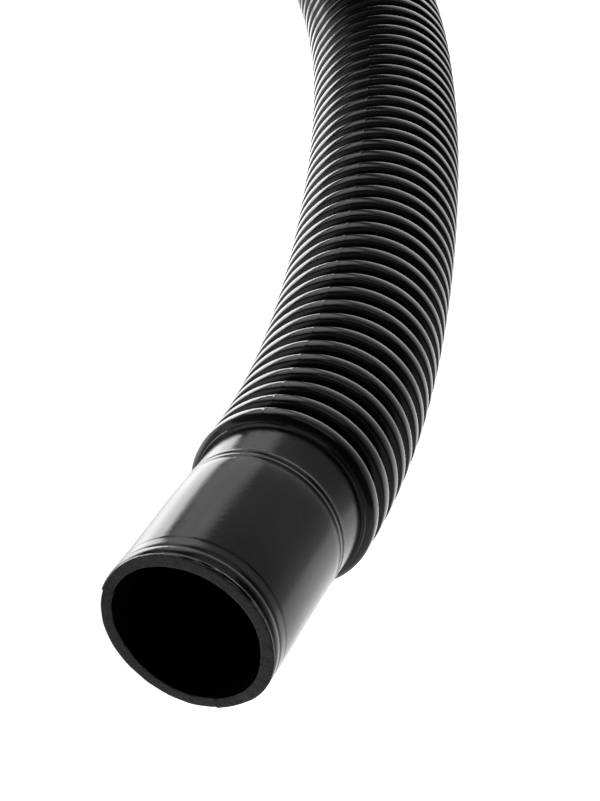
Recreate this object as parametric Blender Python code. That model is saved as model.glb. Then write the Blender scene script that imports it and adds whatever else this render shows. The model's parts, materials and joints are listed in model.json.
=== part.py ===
"""Pool vacuum hose, 38 mm bore and 6 m long, lying on the floor.

One blow-moulded hose wall with its plain cuff in front, the rest wound in a tied coil behind,
and a swivel cuff on the far end, which lies on top of the coil. Metres, +Z up, floor at z = 0,
origin under the middle of the whole hose. The plain cuff points along -Y.
"""

import math

import bmesh
import bpy
import numpy as np
from mathutils import Matrix, Vector

# Driving dimensions
BORE_RADIUS = 0.0190
CUFF_RADIUS = 0.0215
HOSE_RADIUS = 0.0243
GAP = 0.0003

# Plain cuff, measured from the first corrugation towards the mouth
CUFF_LENGTH = 0.0619
CUFF_START = 0.0030
RIDGE_AT = 0.0174
RIDGE_HEIGHT = 0.0003
RIDGE_SPACING = 0.0024
RIM_BAND = 0.0015
RIM_GROOVE = 0.0006

# Route: where the hose leaves the cuff, then points along it measured from there
CUFF_ROOT = Vector((0.3405, -0.2860, HOSE_RADIUS))
ROUTE = [
    (0.0000, 0.0000),
    (-0.0012, 0.0224),
    (-0.0040, 0.0447),
    (-0.0080, 0.0668),
    (-0.0137, 0.0923),
    (-0.0203, 0.1177),
    (-0.0286, 0.1465),
    (-0.0376, 0.1750),
    (-0.0474, 0.2033),
    (-0.0568, 0.2278),
    (-0.0671, 0.2518),
    (-0.0754, 0.2686),
    (-0.0844, 0.2850),
    (-0.1000, 0.3101),
    (-0.1173, 0.3350),
    (-0.1346, 0.3590),
    (-0.1520, 0.3838),
    (-0.1685, 0.4084),
    (-0.1850, 0.4338),
    (-0.2011, 0.4595),
    (-0.2167, 0.4846),
    (-0.2338, 0.5096),
]
TUBE_STEP = 0.030
RISE_POINT = 12

# Coil: turns stacked one on the other, each climbing in the last part of its turn
COIL_FROM_ROOT = (-0.4318, 0.3636)
COIL_RADIUS = 0.2460
COIL_ENTRY = math.radians(42.3)
COIL_LAYERS = 3
LAYER_RISE = 2 * HOSE_RADIUS + GAP
TAIL_END = math.pi
TAIL_POINTS = 12
TAIL_RISE = math.radians(25)
TAIL_STRAIGHT = 0.0250
RING_SEGMENTS = 80

# Ties round the coil: angle past the entry in degrees, and layers of hose that each one holds
TIES = [(30, 4), (112, 4), (195, 3), (270, 3)]
STRAP_WIDTH = 0.0220
TIE_GAP = 0.0010
STRAP_THICKNESS = 0.0015
BUCKLE_WIDTH = 0.0340
BUCKLE_HEIGHT = 0.0200
BUCKLE_BAR = 0.0045
BUCKLE_THICKNESS = 0.0030
BUCKLE_CORNER = 0.0023
WINDOW_CORNER = 0.0008

# Swivel cuff, measured along its axis from the end of the hose
COLLAR_RADIUS = 0.0275
COLLAR_BACK = -0.0240
COLLAR_EDGE = 0.0010
NECK_BORE = 0.0160
NECK_RADIUS = 0.0195
FLANGE_RADIUS = 0.0230
WALL_END = 0.0030
FLANGE_START = 0.0125
FLANGE_END = 0.0155
SWIVEL_START = 0.0035
RECESS_END = 0.0088
RECESS_RADIUS = 0.0245
CHAMBER_RADIUS = 0.0235
SHOULDER = 0.0186
TAPER_START = 0.0226
TAPER_END = 0.0306
SWIVEL_LENGTH = 0.0885
SWIVEL_MOUTH_RADIUS = 0.0225
SWIVEL_RIM = 0.0040
SWIVEL_RIM_HEIGHT = 0.0008
RUNNING_GAP = 0.0004
SPLIT_DEGREES = 6
ROUND_SEGMENTS = 48

COIL_CENTRE = Vector((CUFF_ROOT.x + COIL_FROM_ROOT[0], CUFF_ROOT.y + COIL_FROM_ROOT[1], 0.0))
COIL_Z = STRAP_THICKNESS + TIE_GAP + HOSE_RADIUS
RING_TOP = COIL_Z + (COIL_LAYERS - 1) * LAYER_RISE + HOSE_RADIUS
TAIL_Z = COIL_Z + COIL_LAYERS * LAYER_RISE
SWIVEL_Z = RING_TOP + GAP + COLLAR_RADIUS


def clear_scene():
    for old in list(bpy.data.objects):
        bpy.data.objects.remove(old, do_unlink=True)


def plastic(name, colour, roughness):
    """A new material of the given colour, as every piece here is plastic or webbing."""
    made = bpy.data.materials.new(name)
    made.use_nodes = True
    shader = made.node_tree.nodes["Principled BSDF"]
    shader.inputs["Base Color"].default_value = (*colour, 1.0)
    shader.inputs["Roughness"].default_value = roughness
    shader.inputs["Metallic"].default_value = 0.0
    return made


def add_object(name, data, material, matrix=None):
    made = bpy.data.objects.new(name, data)
    data.materials.append(material)
    bpy.context.collection.objects.link(made)
    made.matrix_world = matrix or Matrix.Identity(4)
    return made


def finish_mesh(name, mesh_builder, material, matrix):
    """Turns a closed bmesh into a smooth-shaded object with its faces pointing out."""
    bmesh.ops.recalc_face_normals(mesh_builder, faces=mesh_builder.faces)
    mesh = bpy.data.meshes.new(name)
    mesh_builder.to_mesh(mesh)
    mesh_builder.free()
    mesh.shade_smooth()
    mesh.set_sharp_from_angle(angle=math.radians(30))
    return add_object(name, mesh, material, matrix)


def turned(name, profile, material, matrix, segments=ROUND_SEGMENTS, opening=0.0):
    """A closed profile of (along, radius) turned about local Z, with an optional split."""
    sweep = math.tau - opening
    stations = segments if opening == 0 else segments + 1
    bm = bmesh.new()
    rings = []
    for i in range(stations):
        angle = opening / 2 + sweep * i / segments
        ring = [bm.verts.new((r * math.cos(angle), r * math.sin(angle), z)) for z, r in profile]
        rings.append(ring)
    count = len(profile)
    for i in range(segments):
        near, far = rings[i], rings[(i + 1) % stations]
        for j in range(count):
            k = (j + 1) % count
            bm.faces.new((near[j], near[k], far[k], far[j]))
    if opening:
        bm.faces.new(rings[0])
        bm.faces.new(rings[-1])
    return finish_mesh(name, bm, material, matrix)


def framed(name, outer, inner, half_depth, material, matrix):
    """A closed frame between two outlines of equal count in local XY, thick along local Z."""
    bm = bmesh.new()
    loops = []
    for outline, side in ((outer, 1), (inner, 1), (inner, -1), (outer, -1)):
        loops.append([bm.verts.new((x, y, side * half_depth)) for x, y in outline])
    count = len(outer)
    for i in range(4):
        near, far = loops[i], loops[(i + 1) % 4]
        for j in range(count):
            k = (j + 1) % count
            bm.faces.new((near[j], near[k], far[k], far[j]))
    return finish_mesh(name, bm, material, matrix)


def smooth_curve(points, start_direction, spacing):
    """Evenly spaced points on a cubic spline through the given ones, leaving along a direction."""
    points = np.array(points, float)
    steps = np.linalg.norm(np.diff(points, axis=0), axis=1)
    at = np.concatenate([[0.0], np.cumsum(steps)])
    count = len(points)
    system = np.zeros((count, count))
    target = np.zeros((count, 3))
    slopes = np.diff(points, axis=0) / steps[:, None]
    system[0, :2] = 2 * steps[0], steps[0]
    target[0] = 6 * (slopes[0] - np.array(start_direction))
    system[-1, -1] = 1.0
    for i in range(1, count - 1):
        system[i, i - 1 : i + 2] = steps[i - 1], 2 * (steps[i - 1] + steps[i]), steps[i]
        target[i] = 6 * (slopes[i] - slopes[i - 1])
    bend = np.linalg.solve(system, target)
    wanted = np.linspace(0.0, at[-1], max(2, round(at[-1] / spacing) + 1))
    span = np.clip(np.searchsorted(at, wanted, side="right") - 1, 0, count - 2)
    before = (wanted - at[span])[:, None]
    after = (at[span + 1] - wanted)[:, None]
    step = steps[span][:, None]
    curve = (bend[span] * after**3 + bend[span + 1] * before**3) / (6 * step)
    curve += (points[span] / step - bend[span] * step / 6) * after
    curve += (points[span + 1] / step - bend[span + 1] * step / 6) * before
    return curve


def ease(x):
    x = min(max(x, 0.0), 1.0)
    return x * x * (3 - 2 * x)


def coil_place(angle, z):
    """A point on the middle of the coil's turns at an angle past its entry."""
    turned_to = COIL_ENTRY + angle
    x = COIL_CENTRE.x + COIL_RADIUS * math.cos(turned_to)
    y = COIL_CENTRE.y + COIL_RADIUS * math.sin(turned_to)
    return (x, y, z)


def front_route():
    """From the cuff to the coil's entry, rising by a strap's thickness before the coil."""
    points = []
    for i, (x, y) in enumerate(ROUTE):
        lift = (COIL_Z - HOSE_RADIUS) * ease((i - RISE_POINT) / (len(ROUTE) - 1 - RISE_POINT))
        points.append((CUFF_ROOT.x + x, CUFF_ROOT.y + y, HOSE_RADIUS + lift))
    points.append(coil_place(0.0, COIL_Z))
    return points


def tail_route():
    """On top of the coil, from above its entry to the straight end that holds the swivel."""
    sweep = TAIL_END - COIL_ENTRY
    points = []
    for i in range(TAIL_POINTS + 1):
        angle = sweep * i / TAIL_POINTS
        lift = (SWIVEL_Z - TAIL_Z) * ease((angle - sweep + TAIL_RISE) / TAIL_RISE)
        points.append(coil_place(angle, TAIL_Z + lift))
    end_x, end_y, end_z = points[-1]
    points.append((end_x, end_y - TAIL_STRAIGHT / 2, end_z))
    points.append((end_x, end_y - TAIL_STRAIGHT, end_z))
    return points


def hose_tube(name, points, material):
    """A plain tube of the hose's outer size along a route."""
    curve = bpy.data.curves.new(name, "CURVE")
    curve.dimensions = "3D"
    curve.bevel_depth = HOSE_RADIUS
    curve.bevel_resolution = 4
    curve.use_fill_caps = True
    spline = curve.splines.new("POLY")
    spline.points.add(len(points) - 1)
    for point, place in zip(spline.points, points):
        point.co = (*place, 1.0)
    return add_object(name, curve, material)


def plain_cuff(material):
    """The smooth cuff: a double ridge near the corrugations and a stepped rim at the mouth."""
    ridge = CUFF_RADIUS + RIDGE_HEIGHT
    profile = [(CUFF_START, BORE_RADIUS), (CUFF_START, CUFF_RADIUS)]
    for start in (RIDGE_AT - RIDGE_SPACING / 2, RIDGE_AT + RIDGE_SPACING / 2):
        profile += [(start - 2 * RIDGE_HEIGHT, CUFF_RADIUS), (start, ridge)]
        profile += [(start + 2 * RIDGE_HEIGHT, CUFF_RADIUS)]
    rim = CUFF_LENGTH - RIM_BAND
    profile += [(rim - RIM_GROOVE - RIDGE_HEIGHT, CUFF_RADIUS)]
    profile += [(rim - RIM_GROOVE, CUFF_RADIUS - RIDGE_HEIGHT), (rim, CUFF_RADIUS - RIDGE_HEIGHT)]
    profile += [(rim + RIDGE_HEIGHT, ridge)]
    profile += [(CUFF_LENGTH, ridge), (CUFF_LENGTH, BORE_RADIUS)]
    return turned("plain_cuff", profile, material, towards(CUFF_ROOT, (0, -1, 0)))


def towards(place, direction):
    """A matrix whose local Z looks along a direction, with its origin at a place."""
    turn = Vector(direction).to_track_quat("Z", "Y").to_matrix().to_4x4()
    return Matrix.Translation(place) @ turn


def hose_front(material):
    """The stretch from the cuff to where the hose's side meets the coil."""
    centre = np.array(COIL_CENTRE)[:2]
    clear = COIL_RADIUS + 2 * HOSE_RADIUS + 2 * GAP
    route = smooth_curve(front_route(), (0, 1, 0), TUBE_STEP / 10)
    outside = [p for p in route if np.linalg.norm(p[:2] - centre) > clear]
    count = round(len(outside) / 10)
    picked = [outside[round(i * (len(outside) - 1) / count)] for i in range(count + 1)]
    square_end = picked[0] - np.array([0.0, CUFF_START - GAP, 0.0])
    return hose_tube("hose_front", [square_end] + picked, material)


def stadium(half_width, bottom, top, arc_points=8):
    """An upright outline with half-round ends, centred on x = 0, anticlockwise from the right."""
    points = []
    for centre, start in ((top, 0.0), (bottom, math.pi)):
        for i in range(arc_points + 1):
            angle = start + math.pi * i / arc_points
            points.append((half_width * math.cos(angle), centre + half_width * math.sin(angle)))
    return points


def hose_coil(material):
    """The outer shape of the stacked turns, as one ring."""
    top = COIL_Z + (COIL_LAYERS - 1) * LAYER_RISE
    section = stadium(HOSE_RADIUS, COIL_Z, top, 6)
    profile = [(z, COIL_RADIUS + x) for x, z in section]
    place = Matrix.Translation(COIL_CENTRE)
    return turned("hose_coil", profile, material, place, RING_SEGMENTS)


def hose_tail(material):
    """The top turn's end, lying on the coil."""
    route = smooth_curve(tail_route(), tail_start_direction(), TUBE_STEP / 2)
    return hose_tube("hose_tail", route, material)


def tail_start_direction():
    return (-math.sin(COIL_ENTRY), math.cos(COIL_ENTRY), 0.0)


def swivel_place():
    """The end of the hose, with local Z along the swivel's axis."""
    x, y, z = tail_route()[-1]
    return towards(Vector((x, y, z)), (0, -1, 0))


def swivel_sleeve(material):
    """Screwed over the hose's end: a collar, an end wall, a neck and the flange that turns."""
    inside = HOSE_RADIUS + GAP
    profile = [
        (COLLAR_BACK, inside),
        (COLLAR_BACK, COLLAR_RADIUS - COLLAR_EDGE),
        (COLLAR_BACK + COLLAR_EDGE, COLLAR_RADIUS),
        (WALL_END, COLLAR_RADIUS),
        (WALL_END, NECK_RADIUS),
        (FLANGE_START, NECK_RADIUS),
        (FLANGE_START, FLANGE_RADIUS),
        (FLANGE_END, FLANGE_RADIUS),
        (FLANGE_END, NECK_BORE),
        (GAP, NECK_BORE),
        (GAP, inside),
    ]
    return turned("swivel_sleeve", profile, material, swivel_place())


def swivel_cuff(material):
    """The cuff that turns on the sleeve and grips the vacuum head's spigot."""
    rim = SWIVEL_LENGTH - SWIVEL_RIM
    profile = [
        (SWIVEL_START, RECESS_RADIUS),
        (SWIVEL_START, COLLAR_RADIUS),
        (TAPER_START, COLLAR_RADIUS),
        (TAPER_END, SWIVEL_MOUTH_RADIUS),
        (rim, SWIVEL_MOUTH_RADIUS),
        (rim, SWIVEL_MOUTH_RADIUS + SWIVEL_RIM_HEIGHT),
        (SWIVEL_LENGTH, SWIVEL_MOUTH_RADIUS + SWIVEL_RIM_HEIGHT),
        (SWIVEL_LENGTH, BORE_RADIUS),
        (SHOULDER, BORE_RADIUS),
        (SHOULDER, CHAMBER_RADIUS),
        (RECESS_END, CHAMBER_RADIUS),
        (RECESS_END, RECESS_RADIUS),
    ]
    return turned("swivel_cuff", profile, material, swivel_place())


def swivel_retainer(material):
    """The split ring that keeps the flange inside the cuff."""
    inner = NECK_RADIUS + RUNNING_GAP
    outer = RECESS_RADIUS - GAP
    start, end = SWIVEL_START + GAP, RECESS_END - GAP
    profile = [(start, inner), (start, outer), (end, outer), (end, inner)]
    split = math.radians(SPLIT_DEGREES)
    return turned("swivel_retainer", profile, material, swivel_place(), opening=split)


def swivel_washer(material):
    """The flat seal between the flange and the cuff's shoulder."""
    inner, outer = BORE_RADIUS, CHAMBER_RADIUS - GAP
    start, end = FLANGE_END + RUNNING_GAP, SHOULDER - GAP
    profile = [(start, inner), (start, outer), (end, outer), (end, inner)]
    return turned("swivel_washer", profile, material, swivel_place())


def tie_matrix(degrees, radius, z):
    """Local X out from the coil's middle, local Y up and local Z along the turns."""
    angle = COIL_ENTRY + math.radians(degrees)
    out = Vector((math.cos(angle), math.sin(angle), 0.0))
    along = out.cross(Vector((0.0, 0.0, 1.0)))
    place = Vector((COIL_CENTRE.x, COIL_CENTRE.y, z)) + out * radius
    turn = Matrix((out, (0.0, 0.0, 1.0), along)).transposed().to_4x4()
    return Matrix.Translation(place) @ turn


def tie(number, degrees, layers, webbing, plastic_black):
    """A strap round the stacked turns, and the ring that its end is pulled through."""
    top = COIL_Z + (layers - 1) * LAYER_RISE
    inner = stadium(HOSE_RADIUS + TIE_GAP, COIL_Z, top)
    outer = stadium(HOSE_RADIUS + TIE_GAP + STRAP_THICKNESS, COIL_Z, top)
    place = tie_matrix(degrees, COIL_RADIUS, 0.0)
    framed(f"tie_strap_{number}", outer, inner, STRAP_WIDTH / 2, webbing, place)

    wide, high = BUCKLE_HEIGHT / 2, BUCKLE_WIDTH / 2
    ring_outer = rounded_rectangle(wide, high, BUCKLE_CORNER)
    ring_inner = rounded_rectangle(wide - BUCKLE_BAR, high - BUCKLE_BAR, WINDOW_CORNER)
    outside = COIL_RADIUS + HOSE_RADIUS + TIE_GAP + STRAP_THICKNESS + GAP + BUCKLE_THICKNESS / 2
    upright = tie_matrix(degrees, outside, (COIL_Z + top) / 2)
    facing = upright @ Matrix.Rotation(math.pi / 2, 4, "Y") @ Matrix.Rotation(math.pi / 2, 4, "Z")
    half = BUCKLE_THICKNESS / 2
    framed(f"tie_ring_{number}", ring_outer, ring_inner, half, plastic_black, facing)


def rounded_rectangle(half_x, half_y, corner, arc_points=3):
    points = []
    for i, (side_x, side_y) in enumerate(((1, 1), (-1, 1), (-1, -1), (1, -1))):
        centre = (side_x * (half_x - corner), side_y * (half_y - corner))
        for j in range(arc_points + 1):
            angle = math.pi / 2 * (i + j / arc_points)
            x = centre[0] + corner * math.cos(angle)
            points.append((x, centre[1] + corner * math.sin(angle)))
    return points


def main():
    clear_scene()
    hose_black = plastic("hose_black", (0.012, 0.012, 0.014), 0.28)
    cuff_black = plastic("cuff_black", (0.014, 0.014, 0.016), 0.30)
    fitting_black = plastic("fitting_black", (0.020, 0.020, 0.022), 0.35)
    retainer_grey = plastic("retainer_grey", (0.45, 0.46, 0.47), 0.45)
    seal_rubber = plastic("seal_rubber", (0.030, 0.030, 0.030), 0.70)
    webbing = plastic("tie_webbing", (0.025, 0.025, 0.027), 0.85)
    ring_black = plastic("tie_ring_black", (0.018, 0.018, 0.020), 0.40)

    plain_cuff(cuff_black)
    hose_front(hose_black)
    hose_coil(hose_black)
    hose_tail(hose_black)
    swivel_sleeve(fitting_black)
    swivel_cuff(fitting_black)
    swivel_retainer(retainer_grey)
    swivel_washer(seal_rubber)
    for number, (degrees, layers) in enumerate(TIES, start=1):
        tie(number, degrees, layers, webbing, ring_black)


main()
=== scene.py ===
"""Pool vacuum hose: fine surfaces, materials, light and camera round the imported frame.

Metres, +Z up, in the frame's own coordinates. The hose wall is one corrugated profile swept along
the route: from the plain cuff in front, through the tied coil, to the swivel cuff on top of it.
"""

import json
import math

import bmesh
import bpy
import numpy as np
from mathutils import Matrix, Vector


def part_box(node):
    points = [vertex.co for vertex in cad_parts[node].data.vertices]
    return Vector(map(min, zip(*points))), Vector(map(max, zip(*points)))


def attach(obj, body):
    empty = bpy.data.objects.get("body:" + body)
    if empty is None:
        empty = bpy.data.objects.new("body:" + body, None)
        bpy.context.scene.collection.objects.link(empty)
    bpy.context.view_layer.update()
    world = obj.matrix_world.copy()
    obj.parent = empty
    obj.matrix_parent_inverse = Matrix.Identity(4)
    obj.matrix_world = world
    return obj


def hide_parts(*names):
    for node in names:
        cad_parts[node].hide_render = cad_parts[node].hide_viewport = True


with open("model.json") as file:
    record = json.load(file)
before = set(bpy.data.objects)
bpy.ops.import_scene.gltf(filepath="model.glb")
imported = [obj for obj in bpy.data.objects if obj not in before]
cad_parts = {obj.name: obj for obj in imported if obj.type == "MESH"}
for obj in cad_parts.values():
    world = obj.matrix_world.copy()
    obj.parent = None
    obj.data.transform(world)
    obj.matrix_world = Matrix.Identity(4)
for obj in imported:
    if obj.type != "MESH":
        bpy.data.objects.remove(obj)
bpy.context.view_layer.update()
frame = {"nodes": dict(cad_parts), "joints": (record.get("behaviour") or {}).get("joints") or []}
nodes = frame["nodes"]

# Sizes that the model's source gives too
HOSE_RADIUS = 0.0243
BORE_RADIUS = 0.0190
CUFF_RADIUS = 0.0215
CUFF_START = 0.0030
CUFF_LENGTH = 0.0619
STRAP_THICKNESS = 0.0015
TIE_GAP = 0.0010
GAP = 0.0003
SWIVEL_LENGTH = 0.0885
COLLAR_RADIUS = 0.0275
STRAP_WIDTH = 0.0220
TIE_RING_WIDTH = 0.0340
TIE_RING_HEIGHT = 0.0200
TIE_RING_BAR = 0.0045
TIE_RING_THICKNESS = 0.0030
TIE_RING_OUT = 0.0313
LAYER_RISE = 2 * HOSE_RADIUS + GAP
COIL_LAYERS = 3

# Ties round the coil: degrees past its entry, and the layers of hose that each one holds
TIES = [(30, 4), (112, 4), (195, 3), (270, 3)]

# The route's points, measured from where the hose leaves the cuff
ROUTE = [
    (0.0000, 0.0000),
    (-0.0012, 0.0224),
    (-0.0040, 0.0447),
    (-0.0080, 0.0668),
    (-0.0137, 0.0923),
    (-0.0203, 0.1177),
    (-0.0286, 0.1465),
    (-0.0376, 0.1750),
    (-0.0474, 0.2033),
    (-0.0568, 0.2278),
    (-0.0671, 0.2518),
    (-0.0754, 0.2686),
    (-0.0844, 0.2850),
    (-0.1000, 0.3101),
    (-0.1173, 0.3350),
    (-0.1346, 0.3590),
    (-0.1520, 0.3838),
    (-0.1685, 0.4084),
    (-0.1850, 0.4338),
    (-0.2011, 0.4595),
    (-0.2167, 0.4846),
    (-0.2338, 0.5096),
]
RISE_POINT = 12
COIL_ENTRY = math.radians(42.3)
COIL_STEP = math.radians(15)

# The part of each turn in which it climbs: past the last tie, and done before the turn's end
CLIMB = (273 / 360, 340 / 360)

# The stretch on top of the coil, which rises at its end to the swivel's height
TAIL_POINTS = 12
TAIL_RISE = math.radians(25)
TAIL_STRAIGHT = 0.0250

# Corrugations. A crest's top is crowned a little over its flat width, and has round corners.
PITCH = 0.007484
FIRST_RING = -0.0009
CREST_CORNER = 0.0005
CREST_FLAT = 0.0014
CREST_CROWN = 0.00011
CROWN_EDGE = 81
VALLEY_RADIUS = 0.0202
VALLEY_CORNER = 0.0008
FLANK_ANGLE = 8
END_WALL = -0.0046
FRONT_RINGS = 58
CURVE_SPACING = 0.001
FRONT_SIDES = 84
COIL_SIDES = 38

# The mould's parting line, on opposite sides of the cuff and the front rings
SEAM_ANGLE = math.radians(124)
SEAM_WIDTH = math.radians(0.7)
SEAM_HEIGHT = 0.00009
SEAM_ON_CUFF = 0.4
SEAM_ON_RINGS = 1.2

# Outside of the plain cuff, by distance from the first ring: a neck that tapers, a barrel that
# swells from a slightly lower start, and a shallow hollow where the rim begins
NECK_END = 0.0145
NECK_TAPER = 0.0095
NECK_RISE = 0.00025
BARREL_START = 0.0197
BARREL_SWELL = 0.0018
BARREL_RISE = 0.00016
HOLLOW_START = 0.0558
HOLLOW_EDGE = 0.0006
HOLLOW_END = 0.0566
HOLLOW_FADE = 0.0024
HOLLOW_DEPTH = 0.00006

# Ridges and grooves round the cuff: distance from the first ring, width and height
RIDGES = [
    (0.0165, 0.00050, 0.00017),
    (0.0184, 0.00045, 0.00010),
    (0.0600, 0.00055, -0.00013),
    (0.0628, 0.00070, -0.00030),
]

# The cuff's points: how many go round it, and its rows by first distance, last and spacing
CUFF_SIDES = 300
CUFF_ROWS = [
    (0.0150, 0.0220, 0.00022),
    (0.0230, 0.0550, 0.00300),
    (0.0554, 0.0665, 0.00020),
]

# The trimmed mouth. The barrel turns oval and moves sideways a little towards it.
CUT_SLOPE = 0.136
MOUTH_SHIFT = 0.0008
MOUTH_RADIUS = 0.0185
MOUTH_OVAL = 0.0002
MOUTH_OVAL_ANGLE = math.radians(50)
OVAL_FROM = 0.020
OVAL_LENGTH = 0.040
BORE_FROM = 0.0570
BORE_BLEND = 0.006
BROKEN_EDGE = 0.0002
TORN_FROM = 0.0634

# Steps where two strokes of the knife meet: degrees round the mouth, height, reach in degrees
CUT_STEPS = [(182, 0.00100, 40), (309, -0.00030, 20)]

# Bulges of the mouth's inner edge: degrees round the mouth, width in degrees, height
MOUTH_BULGES = [
    (118, 26, -0.00045),
    (18, 22, -0.00045),
    (193, 16, 0.00030),
    (230, 14, -0.00030),
]

# Pits along the rim: degrees round it, distance, width in degrees, height and depth
GOUGES = [
    (107, 0.0640, 4, 0.00022, 0.00060),
    (96, 0.0636, 4, 0.00020, 0.00070),
    (88, 0.0643, 6, 0.00020, 0.00070),
    (80, 0.0638, 5, 0.00022, 0.00080),
    (68, 0.0639, 5, 0.00032, 0.00110),
]

# Ties: the gap between two layers of webbing, the ring's shape, and the stitches
WEBBING_REST = 0.0001
TIE_RING_CORNER = 0.0024
TIE_RING_SQUARE = 0.55
TIE_RING_SIDES = 16
STITCH_ROWS = (-0.036, -0.026)
STITCHES_IN_ROW = 7
STITCH_PITCH = 0.0028
STITCH_RADIUS = 0.0003
STITCH_SIDES = 6
STITCH_SHAPE = [(-0.0011, 0.2), (-0.0006, 1.0), (0.0006, 1.0), (0.0011, 0.2)]

# Swivel: distances from the hose's end, and radii
SLEEVE_NECK = 0.0195
SLEEVE_BORE = 0.0160
SLEEVE_FLANGE = 0.0230
FLANGE_BACK = 0.0125
FLANGE_FRONT = 0.0155
COLLAR_START = -0.0240
COLLAR_END = 0.0030
SWIVEL_START = 0.0035
SWIVEL_MOUTH = 0.0225
SWIVEL_RINGS = (0.0440, 0.0490)
POCKET_RADIUS = 0.0235
POCKET_BACK = 0.0088
POCKET_FRONT = 0.0186
RETAINER_SEAT = 0.0245
CORNER_STEPS = 3
GRIP_GROOVES = 30
GRIP_DEPTH = 0.0009
GRIP_FADE = 0.0015

# Brightness of the floor, of its patches beside the hose, and of the world round it
FLOOR_BRIGHTNESS = 1.02
LEFT_GLOW = 3.6
AHEAD_GLOW = 1.4
RIGHT_GLOW = 0.68
HORIZON = 3.5
ZENITH = 0.12

# Lights: name, place, aim, width, height and power
LIGHTS = [
    ("overhead", (0.0, 0.2, 1.8), (0.0, 0.1, 0.0), 1.6, 1.6, 10.0),
    ("left_card", (0.137, -0.090, 0.130), (0.197, -0.170, 0.130), 0.190, 0.150, 0.17),
    ("low_strip", (0.158, -0.060, 0.0085), (0.248, -0.102, 0.0085), 0.177, 0.016, 0.048),
]

cuff_low, cuff_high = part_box("plain_cuff")
CUFF_ROOT = Vector(((cuff_low.x + cuff_high.x) / 2, cuff_high.y + CUFF_START, HOSE_RADIUS))
coil_low, coil_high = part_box("hose_coil")
COIL_CENTRE = (coil_low + coil_high) / 2
COIL_RADIUS = (coil_high.x - coil_low.x) / 2 - HOSE_RADIUS
COIL_Z = coil_low.z + HOSE_RADIUS
TAIL_Z = COIL_Z + COIL_LAYERS * LAYER_RISE
SWIVEL_Z = frame["joints"][0]["pos_m"][2]


# ------------------------------------------------------------------ route

def ease(x):
    """From 0 to 1 with a soft start and end."""
    x = np.clip(x, 0.0, 1.0)
    return x * x * (3 - 2 * x)


def coil_place(angle, z):
    """A point on the middle of the coil's turns at an angle past its entry."""
    turned_to = COIL_ENTRY + angle
    x = COIL_CENTRE.x + COIL_RADIUS * math.cos(turned_to)
    return (x, COIL_CENTRE.y + COIL_RADIUS * math.sin(turned_to), z)


def route_points():
    """From the cuff to the coil, round its turns, and along its top to the swivel."""
    points = []
    for i, (x, y) in enumerate(ROUTE):
        lift = (COIL_Z - HOSE_RADIUS) * ease((i - RISE_POINT) / (len(ROUTE) - 1 - RISE_POINT))
        points.append((CUFF_ROOT.x + x, CUFF_ROOT.y + y, HOSE_RADIUS + lift))
    for i in range(round(COIL_LAYERS * math.tau / COIL_STEP)):
        turns, part = divmod(i * COIL_STEP / math.tau + 1e-9, 1.0)
        climbed = turns + ease((part - CLIMB[0]) / (CLIMB[1] - CLIMB[0]))
        points.append(coil_place(i * COIL_STEP, COIL_Z + LAYER_RISE * climbed))
    sweep = math.pi - COIL_ENTRY
    for i in range(TAIL_POINTS + 1):
        angle = sweep * i / TAIL_POINTS
        lift = (SWIVEL_Z - TAIL_Z) * ease((angle - sweep + TAIL_RISE) / TAIL_RISE)
        points.append(coil_place(angle, TAIL_Z + lift))
    x, y, z = points[-1]
    points.append((x, y - TAIL_STRAIGHT / 2, z))
    points.append((x, y - TAIL_STRAIGHT, z))
    return points


def smooth_curve(points, start_direction, spacing):
    """Evenly spaced points on a cubic spline through the given ones, leaving along a direction."""
    points = np.array(points, float)
    steps = np.linalg.norm(np.diff(points, axis=0), axis=1)
    at = np.concatenate([[0.0], np.cumsum(steps)])
    count = len(points)
    system = np.zeros((count, count))
    target = np.zeros((count, 3))
    slopes = np.diff(points, axis=0) / steps[:, None]
    system[0, :2] = 2 * steps[0], steps[0]
    target[0] = 6 * (slopes[0] - np.array(start_direction))
    system[-1, -1] = 1.0
    for i in range(1, count - 1):
        system[i, i - 1 : i + 2] = steps[i - 1], 2 * (steps[i - 1] + steps[i]), steps[i]
        target[i] = 6 * (slopes[i] - slopes[i - 1])
    bend = np.linalg.solve(system, target)
    wanted = np.linspace(0.0, at[-1], max(2, round(at[-1] / spacing) + 1))
    span = np.clip(np.searchsorted(at, wanted, side="right") - 1, 0, count - 2)
    before = (wanted - at[span])[:, None]
    after = (at[span + 1] - wanted)[:, None]
    step = steps[span][:, None]
    curve = (bend[span] * after**3 + bend[span + 1] * before**3) / (6 * step)
    curve += (points[span] / step - bend[span] * step / 6) * after
    curve += (points[span + 1] / step - bend[span + 1] * step / 6) * before
    return curve


ROUTE_CURVE = smooth_curve(route_points(), (0, 1, 0), CURVE_SPACING)
ROUTE_AT = np.concatenate([[0.0], np.cumsum(np.linalg.norm(np.diff(ROUTE_CURVE, axis=0), axis=1))])
ROUTE_DIRECTION = np.gradient(ROUTE_CURVE, ROUTE_AT, axis=0)
HOSE_LENGTH = float(ROUTE_AT[-1])


def route_frames(along):
    """Centre, side and up vectors at distances along the hose. Side is to the right, level."""
    centre = np.stack([np.interp(along, ROUTE_AT, ROUTE_CURVE[:, k]) for k in range(3)], 1)
    ahead = np.stack([np.interp(along, ROUTE_AT, ROUTE_DIRECTION[:, k]) for k in range(3)], 1)
    ahead /= np.linalg.norm(ahead, axis=1)[:, None]
    centre += ahead * np.minimum(along, 0.0)[:, None]
    side = np.cross(ahead, (0.0, 0.0, 1.0))
    side /= np.linalg.norm(side, axis=1)[:, None]
    return centre, side, np.cross(side, ahead)


# ------------------------------------------------------------------ meshes

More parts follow.
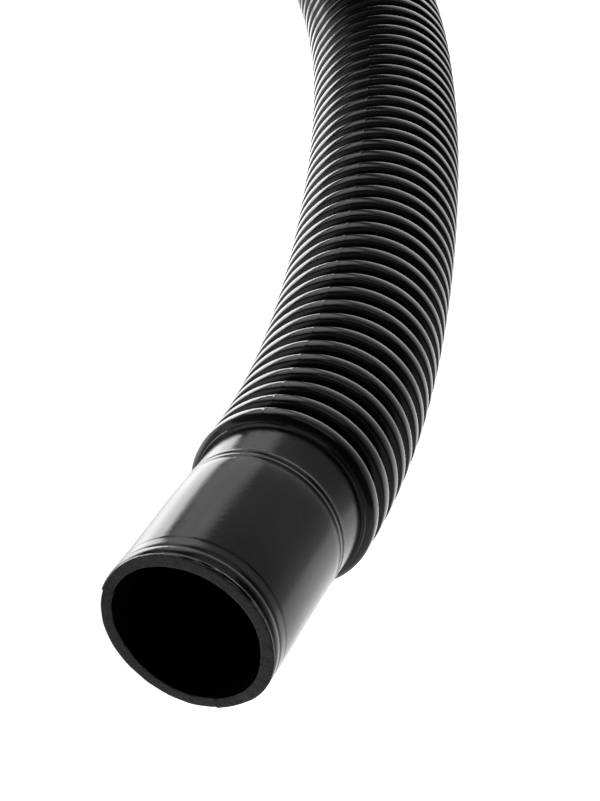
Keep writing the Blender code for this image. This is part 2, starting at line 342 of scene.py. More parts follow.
def mesh_object(name, points, faces, material, sharp=40):
    """A mesh with smooth faces, but with sharp edges past an angle in degrees."""
    mesh = bpy.data.meshes.new(name)
    mesh.from_pydata(points, [], faces)
    mesh.update()
    mesh.shade_smooth()
    mesh.set_sharp_from_angle(angle=math.radians(sharp))
    mesh.materials.append(material)
    made = bpy.data.objects.new(name, mesh)
    bpy.context.scene.collection.objects.link(made)
    return made


def wrapped(name, grid, material, sharp=40):
    """A closed surface through a grid of points that wraps round both ways."""
    rows, columns = grid.shape[:2]
    here = np.arange(rows * columns).reshape(rows, columns)
    ahead, beside = np.roll(here, -1, 0), np.roll(here, -1, 1)
    faces = np.stack([here, ahead, np.roll(ahead, -1, 1), beside], -1).reshape(-1, 4)
    return mesh_object(name, grid.reshape(-1, 3).tolist(), faces.tolist(), material, sharp)


def even_angles(count, extra=()):
    """Angles round a tube, with closer ones where something narrow stands proud."""
    angles = [math.tau * i / count for i in range(count)]
    return np.array(sorted(angles + list(extra)))


def seam(angles):
    """Height of the mould's parting line over angles: a narrow ridge on either side."""
    off = (angles - SEAM_ANGLE + math.pi) % math.tau - math.pi
    other = (angles - SEAM_ANGLE) % math.tau - math.pi
    return SEAM_HEIGHT * (np.exp(-((off / SEAM_WIDTH) ** 2)) + np.exp(-((other / SEAM_WIDTH) ** 2)))


# Angles of extra points across the parting line, so that its ridge has a shape
SEAM_STEPS = [math.radians(d) for d in (-1.6, -0.8, 0.02, 0.8, 1.6)]
SEAM_SIDES = (SEAM_ANGLE, SEAM_ANGLE + math.pi)
SEAM_ANGLES = [(side + step) % math.tau for side in SEAM_SIDES for step in SEAM_STEPS]


# ------------------------------------------------------------------ hose wall

def arc(middle, height, radius, start, end, count):
    """Points on an arc in (along, radius), from one angle in degrees to another."""
    points = []
    for i in range(count):
        angle = math.radians(start + (end - start) * i / (count - 1))
        points.append((middle + radius * math.cos(angle), height + radius * math.sin(angle)))
    return points


def fine_ring():
    """One corrugation with round corners, from its first valley to its second."""
    crest = HOSE_RADIUS - CREST_CROWN - CREST_CORNER
    valley = VALLEY_RADIUS + VALLEY_CORNER
    half = PITCH / 2
    points = arc(-half, valley, VALLEY_CORNER, 270, 360 - FLANK_ANGLE, 3)
    points += arc(-CREST_FLAT, crest, CREST_CORNER, 180 - FLANK_ANGLE, 180 - CROWN_EDGE, 4)
    points += [(x * CREST_FLAT, HOSE_RADIUS - CREST_CROWN * x * x) for x in (-0.5, 0.0, 0.5)]
    points += arc(CREST_FLAT, crest, CREST_CORNER, CROWN_EDGE, FLANK_ANGLE, 4)
    points += arc(half, valley, VALLEY_CORNER, 180 + FLANK_ANGLE, 270, 3)[:-1]
    return points


def plain_ring():
    """The same corrugation with fewer points, for the coil."""
    half = CREST_FLAT + CREST_CORNER
    low = VALLEY_RADIUS + VALLEY_CORNER / 3
    lean, shoulder, top = 0.0008, HOSE_RADIUS - 0.0009, HOSE_RADIUS - 0.0001
    points = [(-half - lean, low), (-half + 0.0001, shoulder), (-CREST_FLAT, top)]
    return points + [(-along, radius) for along, radius in reversed(points)]


def ring_stations(profile, first, last):
    """A run of corrugations as (distance along the hose, radius)."""
    stations = []
    for n in range(first, last):
        middle = FIRST_RING + n * PITCH
        stations += [(middle + along, radius) for along, radius in profile]
    return stations


def hose_piece(name, outer, angles, material):
    """A closed length of hose: the corrugated outside, and the smooth bore back again."""
    start, end = outer[0][0], outer[-1][0]
    count = max(2, round((end - start) / PITCH))
    bore = [(end + (start - end) * i / count, BORE_RADIUS) for i in range(count + 1)]
    along = np.array([s for s, radius in outer + bore])
    radius = np.array([radius for s, radius in outer + bore])
    centre, side, up = route_frames(along)
    outside = (radius > HOSE_RADIUS - CREST_CORNER)[:, None]
    far = radius[:, None] + outside * SEAM_ON_RINGS * seam(angles)[None, :]
    around = np.cos(angles)[None, :, None] * side[:, None]
    around = around + np.sin(angles)[None, :, None] * up[:, None]
    return wrapped(name, centre[:, None] + far[..., None] * around, material)


def hose_wall(material):
    """The whole wall, as one fine piece in front and two plainer ones in the coil."""
    rings = int((HOSE_LENGTH - FIRST_RING) / PITCH)
    middle = (FRONT_RINGS + rings) // 2
    base = CUFF_RADIUS - 0.0005
    end_wall = [
        (END_WALL, base),
        (END_WALL, CUFF_RADIUS),
        (END_WALL + 0.0003, CUFF_RADIUS + 0.0008),
        (END_WALL + 0.0007, CUFF_RADIUS + 0.0010),
        (END_WALL + 0.0010, CUFF_RADIUS + 0.0018),
    ]
    ring = fine_ring()
    first = [p for p in ring if p[0] > -CREST_FLAT - CREST_CORNER * 0.9]
    fine = end_wall + [(FIRST_RING + s, r) for s, r in first] + ring_stations(ring, 1, FRONT_RINGS)
    edge = FIRST_RING + (FRONT_RINGS - 0.5) * PITCH
    between = FIRST_RING + (middle - 0.5) * PITCH
    end = FIRST_RING + (rings - 0.5) * PITCH
    fine.append((edge, VALLEY_RADIUS))
    lower = [(edge, VALLEY_RADIUS)] + ring_stations(plain_ring(), FRONT_RINGS, middle)
    lower.append((between, VALLEY_RADIUS))
    upper = [(between, VALLEY_RADIUS)] + ring_stations(plain_ring(), middle, rings)
    upper.append((end, VALLEY_RADIUS))
    made = []
    for name, outer, angles in (
        ("hose_wall_front", fine, even_angles(FRONT_SIDES, SEAM_ANGLES)),
        ("hose_wall_coil", lower, even_angles(COIL_SIDES)),
        ("hose_wall_top", upper, even_angles(COIL_SIDES)),
    ):
        piece = hose_piece(name, outer, angles, material)
        made.append((piece, outer[0][0], outer[-1][0]))
    return made


def centreline(start, end):
    """Points along the hose's middle, about a centimetre apart."""
    along = np.linspace(start, end, max(12, round((end - start) / 0.01)))
    return route_frames(along)[0].tolist()


# ------------------------------------------------------------------ plain cuff

def bump(x, middle, width):
    """A round hump of height 1."""
    return np.exp(-(((x - middle) / width) ** 2))


def turned(angles, degrees):
    """Angles measured from a place on the circle, between minus and plus half a turn."""
    return (angles - math.radians(degrees) + math.pi) % math.tau - math.pi


def near(angles, degrees, width):
    """A round hump over angles, placed and sized in degrees."""
    return bump(turned(angles, degrees), 0.0, math.radians(width))


def cuff_radius(t):
    """Radius of the cuff's moulded outside at distances from the first ring, in metres."""
    neck = NECK_RISE * np.clip((NECK_END - t) / NECK_TAPER, 0.0, 1.0)
    low = BARREL_RISE * np.exp(-np.maximum(t - BARREL_START, 0.0) / BARREL_SWELL)
    hollow = ease((t - HOLLOW_START) / HOLLOW_EDGE) - ease((t - HOLLOW_END) / HOLLOW_FADE)
    r = CUFF_RADIUS + neck - low - HOLLOW_DEPTH * hollow
    for middle, width, height in RIDGES:
        r += height * bump(t, middle, width)
    return r


def mouth_share(t):
    """0 at the cuff's neck, and 1 from where the barrel is as oval as its mouth."""
    return ease((t - OVAL_FROM) / OVAL_LENGTH)


def wobble(angles, seed, waves, size):
    """A repeatable uneven line round a circle, made of a few waves."""
    random = np.random.default_rng(seed)
    line = np.zeros_like(angles)
    for k in waves:
        line += random.normal() / math.sqrt(k) * np.sin(k * angles + random.uniform(0, math.tau))
    return size * line


def cut_line(angles, radius):
    """Where the slanted knife cut crosses the cuff. Its two strokes meet in two small steps."""
    line = CUFF_LENGTH + CUT_SLOPE * radius * np.sin(angles)
    line += wobble(angles, 3, (5, 9, 14, 23, 37, 58), 0.00008)
    for degrees, size, reach in CUT_STEPS:
        off = turned(angles, degrees)
        line -= size * np.sign(off) * np.clip(1 - np.abs(off) / math.radians(reach), 0.0, 1.0) ** 2
    return line


def gouged(angles, t):
    """Depth of the torn pits that the knife left along the rim."""
    depth = np.zeros_like(angles)
    for degrees, at, width, height, deep in GOUGES:
        depth += deep * near(angles, degrees, width) * bump(t, at, height)
    return depth


def cuff_outside(angles, distances):
    """Rows of (distance, radius, share of the mouth's shape) from the neck to the torn rim."""
    end = cut_line(angles, CUFF_RADIUS) - BROKEN_EDGE
    oval = MOUTH_OVAL * np.cos(2 * (angles - MOUTH_OVAL_ANGLE))
    rows = []
    for i, t in enumerate(distances):
        reach = np.minimum(t, end)
        r = cuff_radius(reach) + seam(angles) * (SEAM_ON_CUFF if t > 0.005 else 0)
        share = mouth_share(reach)
        r += share * oval - gouged(angles, reach)
        torn = ease((reach - TORN_FROM) / 0.0005)
        r += torn * wobble(angles, 100 + i, (17, 29, 43, 71, 97), 0.00009)
        rows.append((reach, r, share))
    return rows


def mouth_radius(angles):
    """Radius of the mouth's uneven inner edge."""
    r = np.full_like(angles, MOUTH_RADIUS)
    for degrees, width, height in MOUTH_BULGES:
        r += height * near(angles, degrees, width)
    return r + wobble(angles, 5, (13, 21, 34, 55), 0.00005)


def cut_face(angles, outer, inner):
    """The same kind of rows across the knife cut, with its two edges broken."""
    rows = []
    for i, share in enumerate((0.03, 0.10, 0.25, 0.42, 0.60, 0.78, 0.93, 1.0)):
        r = outer + (inner - outer) * share
        back = 0.00012 if share in (0.03, 1.0) else 0.0
        grain = wobble(angles, 11 + i, (19, 31, 47, 61, 83, 113), 0.00008)
        rows.append((cut_line(angles, r) + grain - back, r, 1.0))
    return rows


def cuff_bore(inner, start):
    """The same kind of rows from the mouth back to the hose's own bore."""
    rows = []
    for t in np.linspace(0.0560, start, 12):
        deep = ease((BORE_FROM - t) / BORE_BLEND)
        r = inner + (BORE_RADIUS - 0.0001 - inner) * deep
        rows.append((np.full_like(inner, t), r, mouth_share(t)))
    return rows


def plain_cuff(material, cut_material):
    """The smooth cuff: double ridge, stepped rim, seam, and a knife-trimmed uneven end."""
    strokes = [math.radians(d + side) for d, size, reach in CUT_STEPS for side in (-0.2, 0.2)]
    angles = even_angles(CUFF_SIDES, SEAM_ANGLES + strokes)
    distances = [-END_WALL - 0.0002, 0.0060, 0.0100, 0.0140]
    for first, last, spacing in CUFF_ROWS:
        distances += list(np.arange(first, last, spacing))
    outside = cuff_outside(angles, distances)
    inner = mouth_radius(angles)
    cut = cut_face(angles, outside[-1][1], inner)
    grid = []
    for reach, r, share in outside + cut + cuff_bore(inner, distances[0]):
        x = CUFF_ROOT.x + share * MOUTH_SHIFT + r * np.cos(angles)
        grid.append(np.stack([x, CUFF_ROOT.y - reach, CUFF_ROOT.z + r * np.sin(angles)], -1))
    made = wrapped("plain_cuff_moulding", np.array(grid), material, 35)
    made.data.materials.append(cut_material)
    first_torn = sum(t < TORN_FROM for t in distances)
    for face in made.data.polygons:
        if first_torn <= face.index // len(angles) < len(outside) + len(cut) - 1:
            face.material_index = 1
    return made


# ------------------------------------------------------------------ ties round the coil

def tie_frame(degrees):
    """The tie's place on the coil's circle, and its outward and along directions."""
    angle = COIL_ENTRY + math.radians(degrees)
    out = np.array([math.cos(angle), math.sin(angle), 0.0])
    along = np.array([math.sin(angle), -math.cos(angle), 0.0])
    centre = np.array([COIL_CENTRE.x, COIL_CENTRE.y, 0.0]) + out * COIL_RADIUS
    return centre, out, along


def tube_faces(first, rows, columns):
    """Faces through rows of points round a section, with flat ends, counted from a first point."""
    faces = [
        tuple(first + j for j in range(columns - 1, -1, -1)),
        tuple(first + (rows - 1) * columns + j for j in range(columns)),
    ]
    for i in range(rows - 1):
        for j in range(columns):
            a, b = first + i * columns + j, first + i * columns + (j + 1) % columns
            faces.append((a, b, b + columns, a + columns))
    return faces


def strap_line(bottom, top):
    """The webbing's middle line, out and up, from its sewn end to its loose one."""
    middle = (bottom + top) / 2
    r = HOSE_RADIUS + TIE_GAP + STRAP_THICKNESS / 2
    lying = r + STRAP_THICKNESS + WEBBING_REST
    bar = TIE_RING_HEIGHT / 2 - TIE_RING_BAR
    pin = (r + TIE_RING_OUT) / 2
    turn = (TIE_RING_OUT - r) / 2
    line = [(lying, middle - 0.040), (lying, middle - 0.024), (lying + 0.0003, middle - 0.018)]
    line += [(TIE_RING_OUT - 0.0006, middle - 0.0125), (TIE_RING_OUT, middle - 0.0090)]
    line += arc(pin, middle - bar, turn, 0, 180, 9)
    line += [(r, middle + (bottom - middle) * k / 8) for k in range(2, 8)]
    line += arc(0.0, bottom, r, 0, -180, 21)
    line += [(-r, bottom + (top - bottom) * k / 10) for k in range(1, 10)]
    line += arc(0.0, top, r, 180, 0, 21)
    line += [(r, top + (middle - top) * k / 8) for k in range(1, 7)]
    line += arc(pin, middle + bar, turn, 180, 360, 9)
    line += [(TIE_RING_OUT, middle + 0.0090), (TIE_RING_OUT - 0.0006, middle + 0.0125)]
    line += [(lying + 0.0003, middle + 0.018), (lying, middle + 0.024), (lying, middle + 0.036)]
    return line + [(lying + 0.0004, middle + 0.043)]


def strap(number, degrees, layers, material):
    """Webbing sewn round the ring's lower bar, round the turns, and back over the upper bar."""
    line = np.array(strap_line(COIL_Z, COIL_Z + (layers - 1) * LAYER_RISE))
    ahead = np.gradient(line, axis=0)
    ahead /= np.linalg.norm(ahead, axis=1)[:, None]
    outward = np.stack([ahead[:, 1], -ahead[:, 0]], 1)
    run = np.concatenate([[0.0], np.cumsum(np.linalg.norm(np.diff(line, axis=0), axis=1))])
    half, thick = STRAP_WIDTH / 2, STRAP_THICKNESS / 2
    section = [(half * k, thick) for k in (-0.96, -0.5, 0.0, 0.5, 0.96)]
    section += [(half, thick * 0.4), (half, -thick * 0.4)]
    section += [(-x, -y) for x, y in section]
    centre, out, along = tie_frame(degrees)
    points = []
    for i, (x, y) in enumerate(line):
        sway = 0.0002 * math.sin(run[i] * 90 + number)
        for across, depth in section:
            place = centre + out * (x + outward[i, 0] * depth) + along * (across + sway)
            points.append((place + np.array([0.0, 0.0, y + outward[i, 1] * depth])).tolist())
    faces = tube_faces(0, len(line), len(section))
    made = mesh_object(f"tie_strap_{number}_webbing", points, faces, material)
    lay = made.data.attributes.new("lay", "FLOAT_VECTOR", "POINT")
    values = [value for u in run for across, depth in section for value in (float(u), across, depth)]
    lay.data.foreach_set("vector", values)
    return made


def tie_ring(number, degrees, layers, material):
    """A moulded rectangular ring with round bars, which the strap's end is pulled through."""
    top = COIL_Z + (layers - 1) * LAYER_RISE
    centre, out, along = tie_frame(degrees)
    centre = centre + np.array([0.0, 0.0, (COIL_Z + top) / 2])
    middle_out = HOSE_RADIUS + TIE_GAP + STRAP_THICKNESS + GAP + TIE_RING_THICKNESS / 2
    wide = (TIE_RING_WIDTH - TIE_RING_BAR) / 2 - TIE_RING_CORNER
    high = (TIE_RING_HEIGHT - TIE_RING_BAR) / 2 - TIE_RING_CORNER
    path = []
    for i, (x, y) in enumerate(((1, 1), (-1, 1), (-1, -1), (1, -1))):
        path += arc(x * wide, y * high, TIE_RING_CORNER, 90 * i, 90 * i + 90, 6)
    path = np.array(path)
    ahead = np.roll(path, -1, 0) - np.roll(path, 1, 0)
    ahead /= np.linalg.norm(ahead, axis=1)[:, None]
    side = np.stack([ahead[:, 1], -ahead[:, 0]], 1)
    grid = []
    for (x, y), (side_x, side_y) in zip(path, side):
        row = []
        for k in range(TIE_RING_SIDES):
            angle = math.tau * k / TIE_RING_SIDES
            wave = (math.cos(angle), math.sin(angle))
            flat = [math.copysign(abs(v) ** TIE_RING_SQUARE, v) for v in wave]
            off = flat[0] * TIE_RING_BAR / 2
            deep = flat[1] * TIE_RING_THICKNESS / 2
            place = centre + along * (x + side_x * off) + out * (middle_out + deep)
            row.append(place + np.array([0.0, 0.0, y + side_y * off]))
        grid.append(row)
    return wrapped(f"tie_ring_{number}_moulded", np.array(grid), material)


def stitches(number, degrees, layers, material):
    """Two rows of stitches that hold the webbing's sewn end."""
    centre, out, along = tie_frame(degrees)
    face = HOSE_RADIUS + TIE_GAP + 2 * STRAP_THICKNESS + WEBBING_REST
    middle = COIL_Z + (layers - 1) * LAYER_RISE / 2
    points, faces = [], []
    for row in STITCH_ROWS:
        for k in range(STITCHES_IN_ROW):
            across = (k - STITCHES_IN_ROW // 2) * STITCH_PITCH
            first = len(points)
            for x, share in STITCH_SHAPE:
                for turn in range(STITCH_SIDES):
                    angle = math.tau * turn / STITCH_SIDES
                    lift = STITCH_RADIUS * share * math.cos(angle)
                    place = centre + along * (across + x) + out * (face + lift)
                    place[2] += middle + row + STITCH_RADIUS * share * math.sin(angle)
                    points.append(place.tolist())
            faces += tube_faces(first, len(STITCH_SHAPE), STITCH_SIDES)
    return mesh_object(f"tie_stitches_{number}", points, faces, material)


# ------------------------------------------------------------------ swivel end

def rounded(profile, radius):
    """A profile's corners rounded off, each by as much as its sides leave room for."""
    made = []
    for i, corner in enumerate(profile):
        corner = np.array(corner)
        before = np.array(profile[i - 1]) - corner
        after = np.array(profile[(i + 1) % len(profile)]) - corner
        sizes = np.linalg.norm(before), np.linalg.norm(after)
        cut = min(radius, sizes[0] * 0.4, sizes[1] * 0.4)
        start, end = corner + before / sizes[0] * cut, corner + after / sizes[1] * cut
        for k in range(CORNER_STEPS + 1):
            t = k / CORNER_STEPS
            made.append(tuple((1 - t) ** 2 * start + 2 * t * (1 - t) * corner + t * t * end))
    return made


def lathed(name, profile, material, grip):
    """A profile turned about the swivel's axis, with grip grooves from one distance to another."""
    angles = even_angles(GRIP_GROOVES * 8)
    wave = np.clip(np.cos(angles * GRIP_GROOVES) * 1.6 - 0.3, 0.0, 1.0)
    x0, y0, z0 = ROUTE_CURVE[-1]
    grid = []
    for s, r in profile:
        depth = 0.0
        if r > COLLAR_RADIUS - 0.0004:
            depth = GRIP_DEPTH * ease((s - grip[0]) / GRIP_FADE) * ease((grip[1] - s) / GRIP_FADE)
        radius = r - depth * wave
        height = np.full_like(angles, y0 - s)
        x, z = x0 - radius * np.cos(angles), z0 + radius * np.sin(angles)
        grid.append(np.stack([x, height, z], -1))
    return wrapped(name, np.array(grid), material, 30)


def filled_in(profile, spacing):
    """The same profile with points along its long sides."""
    made = []
    for i, start in enumerate(profile):
        start, end = np.array(start), np.array(profile[(i + 1) % len(profile)])
        count = max(1, math.ceil(np.linalg.norm(end - start) / spacing))
        made += [tuple(start + (end - start) * k / count) for k in range(count)]
    return made


def swivel_sleeve(material):
    """A ribbed collar over the hose's end, with a neck and a flange for the cuff to turn on."""
    inside = HOSE_RADIUS + GAP
    profile = [
        (COLLAR_START, inside),
        (COLLAR_START, COLLAR_RADIUS - 0.0010),
        (COLLAR_START + 0.0010, COLLAR_RADIUS),
        (COLLAR_END, COLLAR_RADIUS),
        (COLLAR_END, SLEEVE_NECK),
        (FLANGE_BACK, SLEEVE_NECK),
        (FLANGE_BACK, SLEEVE_FLANGE),
        (FLANGE_FRONT, SLEEVE_FLANGE),
        (FLANGE_FRONT, SLEEVE_BORE),
        (GAP, SLEEVE_BORE),
        (GAP, inside),
    ]
    profile = filled_in(rounded(profile, 0.0006), 0.0010)
    return lathed("swivel_sleeve_moulding", profile, material, (-0.0195, -0.0005))


def swivel_cuff(material):
    """The turning cuff: a ribbed back, a shoulder, two raised rings and a beaded mouth."""
    profile = [(SWIVEL_START, RETAINER_SEAT), (SWIVEL_START, COLLAR_RADIUS)]
    profile += [(0.0226, COLLAR_RADIUS), (0.0306, SWIVEL_MOUTH)]
    for ring in SWIVEL_RINGS:
        profile += [(ring, SWIVEL_MOUTH), (ring + 0.0006, SWIVEL_MOUTH + 0.0006)]
        profile += [(ring + 0.0018, SWIVEL_MOUTH + 0.0006), (ring + 0.0024, SWIVEL_MOUTH)]
    profile += [
        (SWIVEL_LENGTH - 0.0040, SWIVEL_MOUTH),
        (SWIVEL_LENGTH - 0.0036, SWIVEL_MOUTH + 0.0008),
        (SWIVEL_LENGTH, SWIVEL_MOUTH + 0.0008),
        (SWIVEL_LENGTH, BORE_RADIUS),
        (POCKET_FRONT, BORE_RADIUS),
        (POCKET_FRONT, POCKET_RADIUS),
        (POCKET_BACK, POCKET_RADIUS),
        (POCKET_BACK, RETAINER_SEAT),
    ]
    profile = filled_in(rounded(profile, 0.0008), 0.0012)
    return lathed("swivel_cuff_moulding", profile, material, (0.0060, 0.0205))


# ------------------------------------------------------------------ materials

def new_material(name, colour, roughness, specular=0.15):
    """A principled material, with its node tree and its shader."""
    made = bpy.data.materials.new(name)
    made.use_nodes = True
    tree = made.node_tree
    shader = tree.nodes["Principled BSDF"]
    shader.inputs["Base Color"].default_value = (*colour, 1.0)
    shader.inputs["Roughness"].default_value = roughness
    shader.inputs["Specular IOR Level"].default_value = specular
    return made, tree, shader


def maths(tree, operation, *values):
    """A sum of sockets and plain numbers."""
    node = tree.nodes.new("ShaderNodeMath")
    node.operation = operation
    for socket, value in zip(node.inputs, values):
        if isinstance(value, float):
            socket.default_value = value
        else:
            tree.links.new(value, socket)
    return node.outputs["Value"]


def mapped(tree, value, start, end, first, last, kind="LINEAR"):
    """A value that goes from first to last while the input goes from start to end."""
    node = tree.nodes.new("ShaderNodeMapRange")
    node.interpolation_type = kind
    node.inputs["From Min"].default_value = start
    node.inputs["From Max"].default_value = end
    node.inputs["To Min"].default_value = first
    node.inputs["To Max"].default_value = last
    tree.links.new(value, node.inputs["Value"])
    return node.outputs["Result"]


def fade(tree, value, start, end, first, last):
    """The same, but with a soft start and end."""
    return mapped(tree, value, start, end, first, last, "SMOOTHSTEP")


def coordinates(tree, kind):
    """The X, Y and Z of one of a surface's own kinds of coordinates."""
    split = tree.nodes.new("ShaderNodeSeparateXYZ")
    source = tree.nodes.new("ShaderNodeTexCoord")
    tree.links.new(source.outputs[kind], split.inputs["Vector"])
    return split.outputs["X"], split.outputs["Y"], split.outputs["Z"]


def add_noise(tree, scale, detail=3.0):
    """Noise fixed to the object, by the number of its features in a metre."""
    noise = tree.nodes.new("ShaderNodeTexNoise")
    noise.inputs["Scale"].default_value = scale
    noise.inputs["Detail"].default_value = detail
    place = tree.nodes.new("ShaderNodeTexCoord").outputs["Object"]
    tree.links.new(place, noise.inputs["Vector"])
    return noise.outputs["Fac"]


def spread(tree, noise, low, high):
    """Maps the middle of a noise's range to a range of values."""
    return mapped(tree, noise, 0.3, 0.7, low, high)


def mottle(tree, shader, scale, dark, light):
    """A base colour that wanders between two tones."""
    tone = tree.nodes.new("ShaderNodeMix")
    tone.data_type = "RGBA"
    tone.inputs["A"].default_value = (*dark, 1.0)
    tone.inputs["B"].default_value = (*light, 1.0)
    tree.links.new(spread(tree, add_noise(tree, scale), 0.0, 1.0), tone.inputs["Factor"])
    tree.links.new(tone.outputs["Result"], shader.inputs["Base Color"])


def add_bump(tree, shader, height, distance, strength=1.0):
    """Raises the surface by a height's share of a distance."""
    made = tree.nodes.new("ShaderNodeBump")
    made.inputs["Distance"].default_value = distance
    made.inputs["Strength"].default_value = strength
    tree.links.new(height, made.inputs["Height"])
    tree.links.new(made.outputs["Normal"], shader.inputs["Normal"])


def moulded_plastic(name, colour, roughness):
    """Blow-moulded polyethylene: uneven gloss, a faint haze and a fine orange peel."""
    made, tree, shader = new_material(name, colour, roughness)
    gloss = spread(tree, add_noise(tree, 60.0), roughness * 0.85, roughness * 1.2)
    tree.links.new(gloss, shader.inputs["Roughness"])
    mottle(tree, shader, 25.0, colour, [c * 1.7 for c in colour])
    add_bump(tree, shader, add_noise(tree, 900.0, 2.0), 0.00002)
    return made


def woven(name, colour):
    """Webbing woven across and along, with the weave raised, after the mesh's own lay, and with
    painted shade in the weave's hollows and a painted highlight on its raised threads.
    """
    made, tree, shader = new_material(name, colour, 0.8)
    lay = tree.nodes.new("ShaderNodeAttribute")
    lay.attribute_name = "lay"
    split = tree.nodes.new("ShaderNodeSeparateXYZ")
    tree.links.new(lay.outputs["Vector"], split.inputs["Vector"])
    waves = []
    for axis, pitch in (("X", 0.0016), ("Y", 0.0011)):
        turn = maths(tree, "MULTIPLY", split.outputs[axis], math.tau / pitch)
        waves.append(maths(tree, "SINE", turn))
    weave = maths(tree, "MULTIPLY", *waves)
    # Painted shade and highlight: the colour follows the weave's height, darker in its hollows and
    # lighter on its raised threads
    painted_weave_shade = tree.nodes.new("ShaderNodeVectorMath")
    painted_weave_shade.operation = "SCALE"
    painted_weave_shade.inputs[0].default_value = colour
    tree.links.new(mapped(tree, weave, -1.0, 1.0, 0.35, 1.3), painted_weave_shade.inputs["Scale"])
    tree.links.new(painted_weave_shade.outputs["Vector"], shader.inputs["Base Color"])
    add_bump(tree, shader, weave, 0.0003, 0.8)
    return made


def cut_plastic():
    """The knife-trimmed end: matt, scratched across the wall."""
    made, tree, shader = new_material("cut_black", (0.014, 0.014, 0.016), 0.55)
    mottle(tree, shader, 1400.0, (0.003, 0.003, 0.0035), (0.016, 0.016, 0.018))
    add_bump(tree, shader, add_noise(tree, 2200.0, 4.0), 0.00025)
    return made


# ------------------------------------------------------------------ camera, light, floor

def camera():
    """Low in front of the cuff, rolled, looking down along the hose."""
    heading, pitch, roll = math.radians(7.84), math.radians(33.9), math.radians(25.12)
    ahead = Vector((-math.sin(heading), math.cos(heading), 0.0))
    forward = math.cos(pitch) * ahead - math.sin(pitch) * Vector((0.0, 0.0, 1.0))
    level = Vector((math.cos(heading), math.sin(heading), 0.0))
    upright = level.cross(forward)
    right = math.cos(roll) * level + math.sin(roll) * upright
    up = math.cos(roll) * upright - math.sin(roll) * level
    data = bpy.data.cameras.new("camera")
    data.lens = 89.888
    data.sensor_width = 36.0
    data.clip_start, data.clip_end = 0.01, 50.0
    made = bpy.data.objects.new("camera", data)
    bpy.context.scene.collection.objects.link(made)
    turn = Matrix((right, up, -forward)).transposed().to_4x4()
    made.matrix_world = Matrix.Translation(CUFF_ROOT + Vector((0.0474, -0.3930, 0.2936))) @ turn
    bpy.context.scene.camera = made


def area_light(name, place, aim, width, height, power):
    """A rectangular light, aimed at a point and hidden from the camera."""
    data = bpy.data.lights.new(name, "AREA")
    data.shape = "RECTANGLE"
    data.size, data.size_y = width, height
    data.energy = power
    made = bpy.data.objects.new(name, data)
    bpy.context.scene.collection.objects.link(made)
    place = Vector(place)
    turn = (Vector(aim) - place).to_track_quat("-Z", "Y").to_matrix().to_4x4()
    made.matrix_world = Matrix.Translation(place) @ turn
    made.visible_camera = False


def product(tree, values):
    """All the values multiplied together."""
    result = values[0]
    for value in values[1:]:
        result = maths(tree, "MULTIPLY", result, value)
    return result


def white_floor():
    """A bright floor, brighter still on the hose's left, whose glow the crests and cuff reflect."""
    grid = bmesh.new()
    bmesh.ops.create_grid(grid, x_segments=1, y_segments=1, size=4.0)
    data = bpy.data.meshes.new("floor")
    grid.to_mesh(data)
    grid.free()
    floor = bpy.data.objects.new("floor", data)
    bpy.context.scene.collection.objects.link(floor)
    white, tree, shader = new_material("floor_white", (0.3, 0.3, 0.3), 0.6, 0.0)
    shader.inputs["Emission Color"].default_value = (1.0, 1.0, 1.0, 1.0)
    x, y = coordinates(tree, "Object")[:2]
    beside = maths(tree, "MULTIPLY_ADD", x, -0.6, y)
    left = product(tree, [
        fade(tree, x, 0.27, 0.31, LEFT_GLOW, 0.0),
        fade(tree, y, -0.315, -0.295, 0.0, 1.0),
        fade(tree, beside, -0.14, -0.09, 1.0, 0.0),
    ])
    ahead = product(tree, [
        fade(tree, x, 0.24, 0.32, AHEAD_GLOW, 0.0),
        fade(tree, y, -0.345, -0.365, 0.0, 1.0),
    ])
    right = product(tree, [
        fade(tree, x, 0.33, 0.36, 0.0, RIGHT_GLOW),
        fade(tree, y, -0.365, -0.345, 0.0, 1.0),
    ])
    brightness = FLOOR_BRIGHTNESS
    for glow in (left, ahead, right):
        brightness = maths(tree, "ADD", brightness, glow)
    tree.links.new(brightness, shader.inputs["Emission Strength"])
    data.materials.append(white)


def white_world():
    """A bright horizon behind the hose, dim above, behind the camera and to both sides."""
    world = bpy.data.worlds.new("studio")
    bpy.context.scene.world = world
    world.use_nodes = True
    tree = world.node_tree
    x, y, z = coordinates(tree, "Generated")
    strength = product(tree, [
        fade(tree, z, 0.0, 0.82, HORIZON, ZENITH),
        fade(tree, y, -0.5, 0.5, 0.18, 1.0),
        fade(tree, x, 0.0, 0.55, 1.0, 0.25),
        fade(tree, x, -0.12, -0.46, 1.0, 0.45),
    ])
    background = tree.nodes["Background"]
    tree.links.new(strength, background.inputs["Strength"])
    background.inputs["Color"].default_value = (1.0, 1.0, 1.0, 1.0)


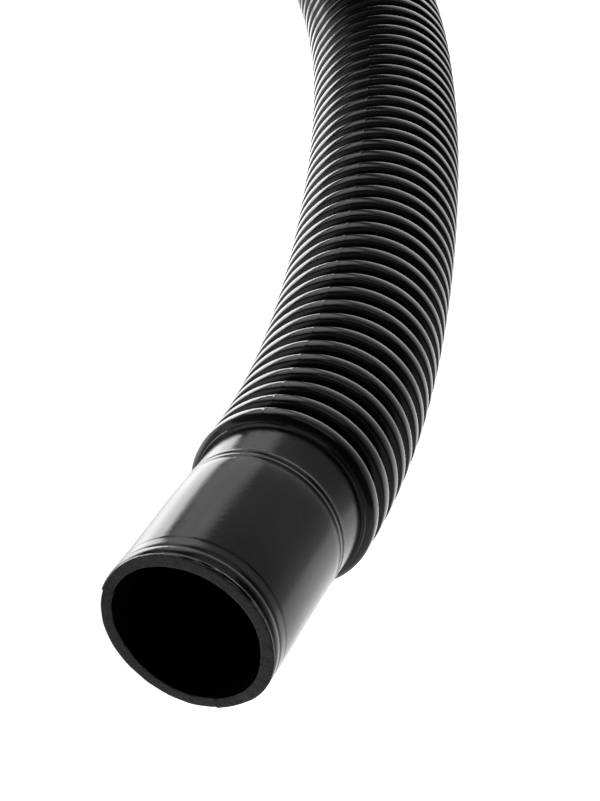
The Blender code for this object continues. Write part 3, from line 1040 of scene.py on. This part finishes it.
def studio():
    """A white sweep in soft light."""
    white_floor()
    white_world()
    for light in LIGHTS:
        area_light(*light)
    bpy.context.scene.view_settings.view_transform = "Standard"


def build():
    """The scene's camera and light, and then every piece, on its body and over its CAD node."""
    camera()
    studio()
    hose_black = moulded_plastic("hose_black", (0.002, 0.002, 0.0025), 0.18)
    cuff_black = moulded_plastic("cuff_black", (0.003, 0.003, 0.0035), 0.20)
    fitting_black = moulded_plastic("fitting_black", (0.020, 0.020, 0.022), 0.35)
    grey = moulded_plastic("retainer_grey", (0.45, 0.46, 0.47), 0.45)
    rubber = moulded_plastic("seal_rubber", (0.030, 0.030, 0.030), 0.70)
    webbing = woven("tie_webbing", (0.025, 0.025, 0.027))
    thread = moulded_plastic("tie_thread", (0.060, 0.060, 0.065), 0.70)
    ring_black = moulded_plastic("tie_ring_black", (0.018, 0.018, 0.020), 0.40)

    for name, node in nodes.items():
        finish = {"swivel_retainer": grey, "swivel_washer": rubber}.get(name, fitting_black)
        if name.startswith("tie_"):
            finish = webbing if name.startswith("tie_strap") else ring_black
        for slot in node.material_slots:
            slot.material = finish

    cuff = plain_cuff(cuff_black, cut_plastic())
    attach(cuff, "hose")
    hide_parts("plain_cuff")

    walls = hose_wall(hose_black)
    fittings = (swivel_sleeve, "swivel_sleeve", "hose"), (swivel_cuff, "swivel_cuff", "swivel")
    for make, name, body in fittings:
        piece = make(fitting_black)
        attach(piece, body)
        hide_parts(name)
    for number, (degrees, layers) in enumerate(TIES, start=1):
        band = strap(number, degrees, layers, webbing)
        sewing = stitches(number, degrees, layers, thread)
        ring = tie_ring(number, degrees, layers, ring_black)
        for piece, slot in ((band, "tie_webbing"), (sewing, "tie_webbing"), (ring, "tie_ring")):
            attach(piece, "hose")
        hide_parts(f"tie_strap_{number}")
        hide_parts(f"tie_ring_{number}")
    for (piece, start, end), node in zip(walls, ("hose_front", "hose_coil", "hose_tail")):
        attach(piece, "hose")
        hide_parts(node)
        path = centreline(start, end)


build()
